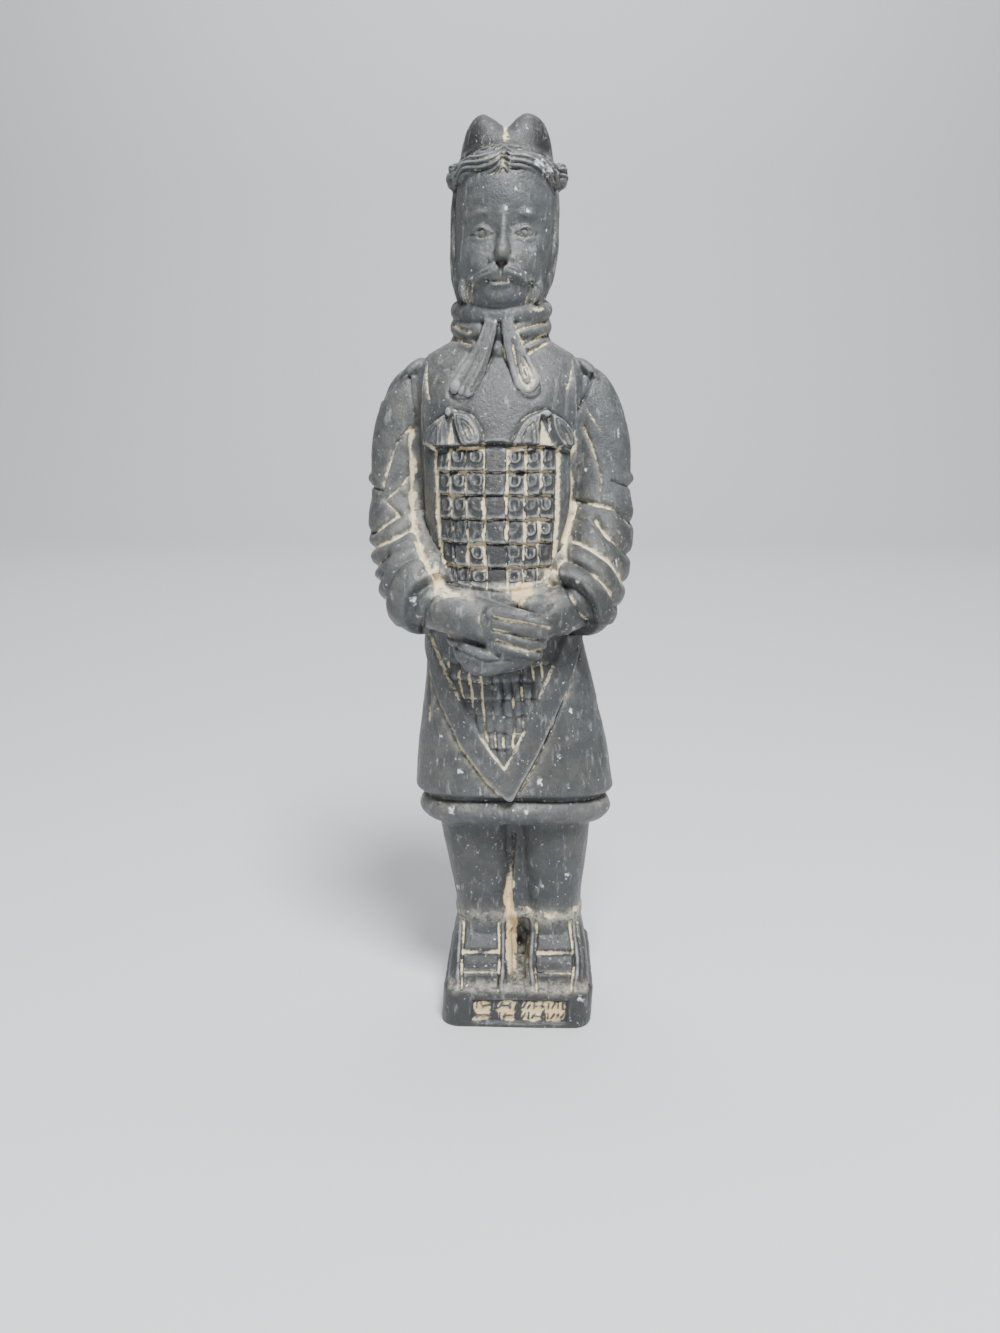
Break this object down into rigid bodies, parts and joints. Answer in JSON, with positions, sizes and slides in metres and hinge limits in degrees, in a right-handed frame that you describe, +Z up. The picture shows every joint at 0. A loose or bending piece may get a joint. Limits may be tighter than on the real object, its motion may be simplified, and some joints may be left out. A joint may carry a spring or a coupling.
{
  "type": "terracotta warrior figure",
  "caption": "Small dark clay figure of a standing armoured officer with a two-lobed cap and folded hands, on a low plinth.",
  "frame": {"origin": "middle of the plinth's underside", "axes": "+Z up along the standing figure, -Y the way the figure faces, +X to the figure's left"},
  "size_m": [0.0536, 0.0397, 0.1798],
  "materials": {
    "dark_clay": "matte, unglazed, with pale earth rubbed into the hollows"
  },
  "bodies": {
    "root": {"warrior_figure": "dark_clay"}
  },
  "joints": []
}
